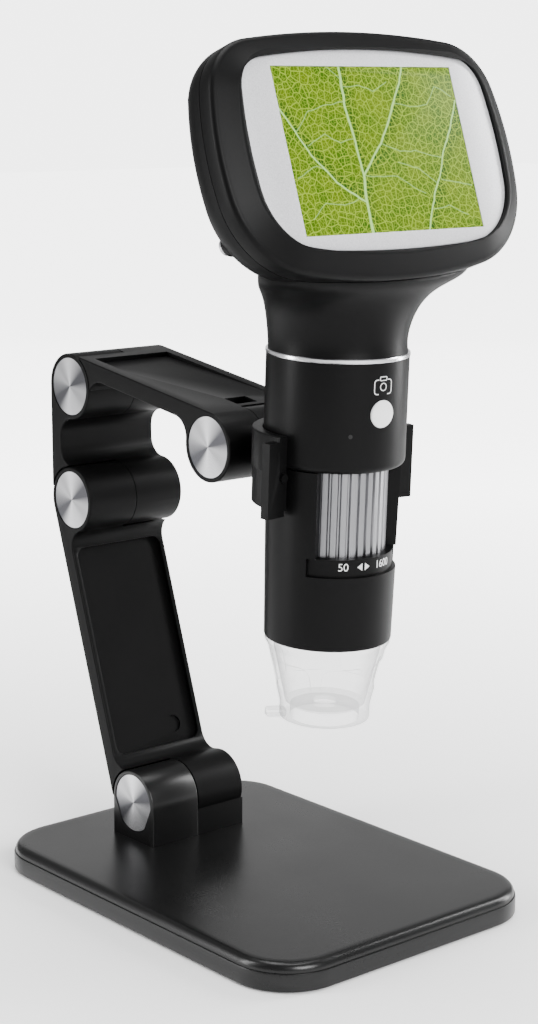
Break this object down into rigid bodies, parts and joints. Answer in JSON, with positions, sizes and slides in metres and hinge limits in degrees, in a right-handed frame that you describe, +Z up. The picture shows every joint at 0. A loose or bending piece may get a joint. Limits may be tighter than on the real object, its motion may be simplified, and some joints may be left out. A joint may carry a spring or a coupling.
{
  "type": "digital microscope on folding stand",
  "caption": "Hand-held microscope with a tilted screen head, ribbed focus wheel and clear hood, held by a ring clip on a folding stand with a flat weighted base.",
  "frame": {"origin": "middle of the underside of the base", "axes": "+X along the hinge pins, -Y the side that the screen faces, +Z up"},
  "size_m": [0.0886, 0.125, 0.2119],
  "materials": {
    "black_plastic": "fine satin",
    "black_base": "satin gloss",
    "black_rubber": "matte",
    "steel": "plain",
    "silver_disc": "spun",
    "silver_trim": "satin",
    "silver_wheel": "satin",
    "silver_panel": "fine metallic",
    "screen": "glossy screen with a leaf picture",
    "clear_plastic": "clear moulded plastic",
    "lens_glass": "polished",
    "white_button": "gloss",
    "dark_button": "satin",
    "circuit_board": "solder mask",
    "lamp": "lamp resin",
    "battery_wrap": "foil wrap"
  },
  "bodies": {
    "base": {"base_cover": "black_base", "base_tray": "black_base", "ballast_plate": "steel", "base_pad": "black_rubber", "base_screws": "steel", "base_hinge_cap": "silver_disc", "base_hinge_pin": "steel", "base_hinge_washer": "steel", "base_hinge_nut": "steel"},
    "lower_arm": {"lower_arm": "black_plastic", "lower_arm_hinge_caps": "silver_disc", "lower_elbow_pin": "steel", "lower_elbow_washer": "steel", "lower_elbow_nut": "steel"},
    "middle_link": {"middle_link": "black_plastic", "middle_link_hinge_caps": "silver_disc", "upper_elbow_pin": "steel", "upper_elbow_washer": "steel", "upper_elbow_nut": "steel"},
    "upper_arm": {"upper_arm": "black_plastic", "upper_arm_hinge_caps": "silver_disc", "clip_hinge_pin": "steel", "clip_hinge_washer": "steel", "clip_hinge_nut": "steel"},
    "clip": {"clip_holder": "black_plastic", "clip_hinge_cap": "silver_disc"},
    "scope": {"upper_shell": "black_plastic", "trim_ring": "silver_trim", "lower_barrel": "black_plastic", "wheel_retainer": "black_plastic", "image_sensor_board": "circuit_board", "led_board": "circuit_board", "leds": "lamp", "photo_switch": "black_plastic", "switch_board": "circuit_board", "front_bezel": "black_plastic", "screen_panel": "silver_panel", "lcd_module": "screen", "rear_housing": "black_plastic", "housing_screws": "steel", "main_board": "circuit_board", "battery": "battery_wrap", "charge_socket": "steel", "card_socket": "steel", "power_switch": "black_plastic"},
    "focus_wheel": {"focus_wheel": "silver_wheel"},
    "lens_carriage": {"lens_carriage": "black_plastic", "objective_lens": "lens_glass"},
    "photo_button": {"photo_button": "white_button"},
    "power_button": {"power_button": "dark_button"},
    "hood": {"clear_hood": "clear_plastic"}
  },
  "joints": [
    {"name": "base_tilt", "type": "hinge", "parent": "base", "child": "lower_arm", "pos_m": [0, 0.03285, 0.017], "axis": [1, 0, 0], "range_deg": [-15, 30]},
    {"name": "lower_elbow", "type": "hinge", "parent": "lower_arm", "child": "middle_link", "pos_m": [0, 0.05822, 0.09371], "axis": [1, 0, 0], "range_deg": [-50, 26]},
    {"name": "upper_elbow", "type": "hinge", "parent": "middle_link", "child": "upper_arm", "pos_m": [0, 0.05822, 0.12371], "axis": [-1, 0, 0], "range_deg": [-22, 90]},
    {"name": "clip_tilt", "type": "hinge", "parent": "upper_arm", "child": "clip", "pos_m": [0, 0.00087, 0.11504], "axis": [1, 0, 0], "range_deg": [-45, 45]},
    {"name": "scope_turn", "type": "hinge", "parent": "clip", "child": "scope", "pos_m": [0, -0.0279, 0.1137], "axis": [0, -0.0464, 0.9989], "range_deg": [-35, 35]},
    {"name": "focus_turn", "type": "hinge", "parent": "scope", "child": "focus_wheel", "pos_m": [0, -0.0279, 0.1137], "axis": [0, -0.0464, 0.9989], "range_deg": [-150, 150]},
    {"name": "lens_focus", "type": "slide", "parent": "scope", "child": "lens_carriage", "axis": [0, -0.0464, 0.9989], "range_m": [-0.0045, 0.0045]},
    {"name": "photo_press", "type": "slide", "parent": "scope", "child": "photo_button", "axis": [0, 0.9989, 0.0464], "range_m": [0, 0.00035], "stiffness_N_per_m": 2000, "springref_m": -0.0002},
    {"name": "power_press", "type": "slide", "parent": "scope", "child": "power_button", "axis": [0, -0.3229, -0.9464], "range_m": [0, 0.00035], "stiffness_N_per_m": 2000, "springref_m": -0.0002},
    {"name": "hood_pull", "type": "slide", "parent": "scope", "child": "hood", "axis": [0, 0.0464, -0.9989], "range_m": [0, 0.016]}
  ],
  "couplings": [
    {"joint": "focus_turn", "follows": "lens_focus", "rad_per_m": 581.77}
  ]
}
